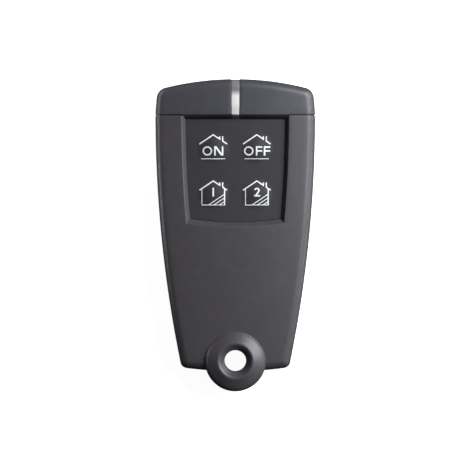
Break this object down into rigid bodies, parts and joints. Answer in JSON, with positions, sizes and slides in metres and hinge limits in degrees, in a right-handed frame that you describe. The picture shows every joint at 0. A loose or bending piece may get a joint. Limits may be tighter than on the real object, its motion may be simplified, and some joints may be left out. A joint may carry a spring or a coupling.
{
  "type": "alarm key fob",
  "caption": "Waisted handheld alarm remote with a sunk keypad of house pictograms, a seamed end cap with a light pipe and a moulded eye for a key ring.",
  "frame": {"origin": "middle of the whole length and width, on the flat back on which the fob lies", "axes": "+Z out of the keys, +Y towards the end cap with the light pipe, +X to the right as the keys are read"},
  "size_m": [0.0382, 0.075, 0.012],
  "materials": {
    "case_plastic": "fine moulded texture, satin",
    "pipe_plastic": "milky translucent, smooth",
    "keypad_rubber": "matt, smooth",
    "legend_ink": "printed, matt",
    "switch_plastic": "matt",
    "plunger_plastic": "matt",
    "switch_steel": "bright stamped",
    "dome_metal": "bright stamped",
    "board_laminate": "solder resist",
    "chip_resin": "moulded resin",
    "ceramic": "ceramic",
    "lamp_resin": "clear resin",
    "antenna_copper": "bare copper",
    "bright_steel": "plated"
  },
  "bodies": {
    "case": {"front_shell": "case_plastic", "rear_shell": "case_plastic", "end_cap": "case_plastic", "light_pipe": "pipe_plastic", "keypad_film": "keypad_rubber", "switch_base_on": "switch_plastic", "switch_base_off": "switch_plastic", "switch_base_one": "switch_plastic", "switch_base_two": "switch_plastic", "switch_cover_on": "switch_steel", "switch_cover_off": "switch_steel", "switch_cover_one": "switch_steel", "switch_cover_two": "switch_steel", "switch_dome_on": "dome_metal", "switch_dome_off": "dome_metal", "switch_dome_one": "dome_metal", "switch_dome_two": "dome_metal", "circuit_board": "board_laminate", "radio_chip": "chip_resin", "chip_resistors": "chip_resin", "chip_capacitors": "ceramic", "status_led": "lamp_resin", "antenna": "antenna_copper", "crystal": "bright_steel", "coin_cell": "bright_steel", "battery_clip": "bright_steel", "battery_contact": "bright_steel", "case_screw": "bright_steel"},
    "on_key": {"key_on": "keypad_rubber", "legend_on": "legend_ink", "switch_plunger_on": "plunger_plastic"},
    "off_key": {"key_off": "keypad_rubber", "legend_off": "legend_ink", "switch_plunger_off": "plunger_plastic"},
    "one_key": {"key_one": "keypad_rubber", "legend_one": "legend_ink", "switch_plunger_one": "plunger_plastic"},
    "two_key": {"key_two": "keypad_rubber", "legend_two": "legend_ink", "switch_plunger_two": "plunger_plastic"}
  },
  "joints": [
    {"name": "on_press", "type": "slide", "parent": "case", "child": "on_key", "axis": [0, 0, -1], "range_m": [0, 0.00035], "stiffness_N_per_m": 3000, "deforming": ["switch_dome_on"]},
    {"name": "off_press", "type": "slide", "parent": "case", "child": "off_key", "axis": [0, 0, -1], "range_m": [0, 0.00035], "stiffness_N_per_m": 3000, "deforming": ["switch_dome_off"]},
    {"name": "one_press", "type": "slide", "parent": "case", "child": "one_key", "axis": [0, 0, -1], "range_m": [0, 0.00035], "stiffness_N_per_m": 3000, "deforming": ["switch_dome_one"]},
    {"name": "two_press", "type": "slide", "parent": "case", "child": "two_key", "axis": [0, 0, -1], "range_m": [0, 0.00035], "stiffness_N_per_m": 3000, "deforming": ["switch_dome_two"]}
  ]
}
